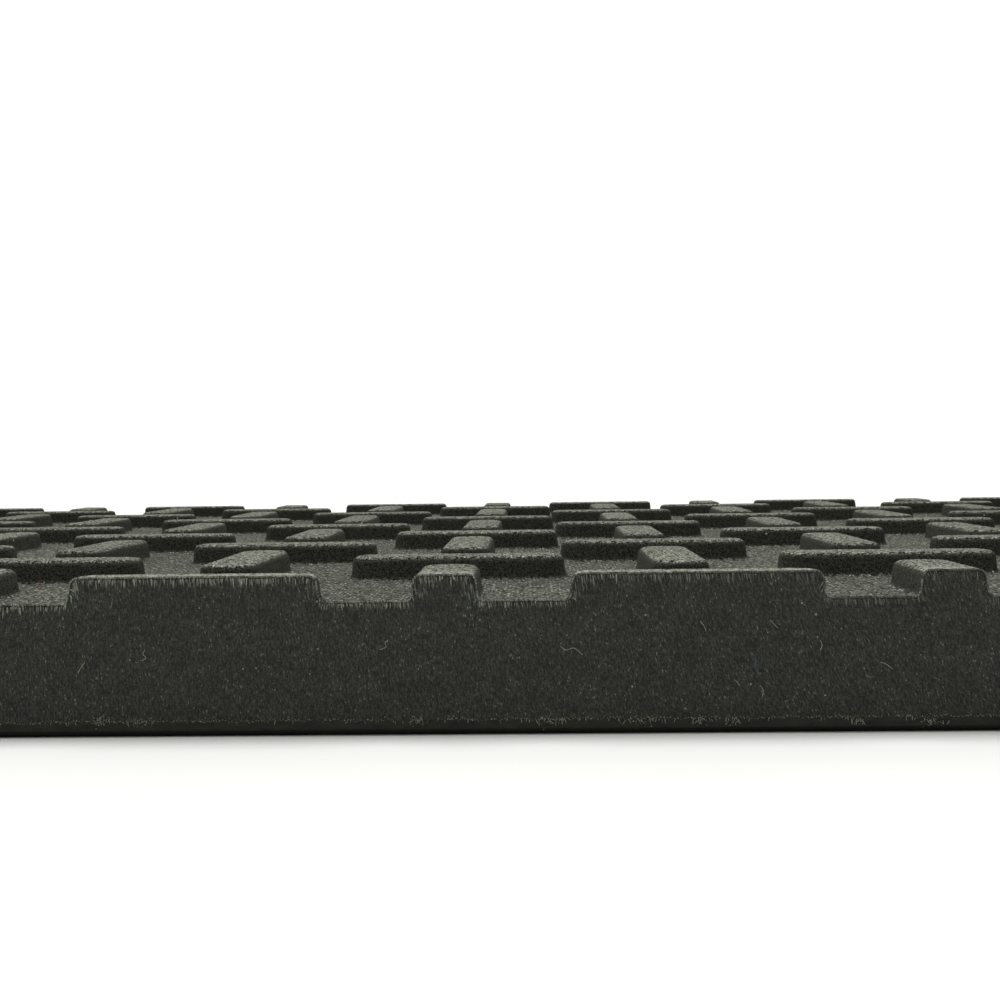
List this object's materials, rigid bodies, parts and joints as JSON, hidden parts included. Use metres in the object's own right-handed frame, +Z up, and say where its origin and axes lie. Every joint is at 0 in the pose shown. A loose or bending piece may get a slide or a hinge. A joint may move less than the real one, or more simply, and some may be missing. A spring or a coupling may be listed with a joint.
{
  "type": "ground protection mat",
  "caption": "Thick black rubber ground mat with raised bar treads set crosswise in a basket pattern and plainly cut edges.",
  "frame": {"origin": "centre of the underside, on the floor that the mat lies on", "axes": "+X along the mat's length, +Y across it from the edge seen in the picture to the far edge, +Z up out of the tread face"},
  "size_m": [1.2, 0.3, 0.024],
  "materials": {
    "rubber": "matt, finely grained moulded top, dull sawn edges"
  },
  "bodies": {
    "root": {"mat": "rubber"}
  },
  "joints": []
}
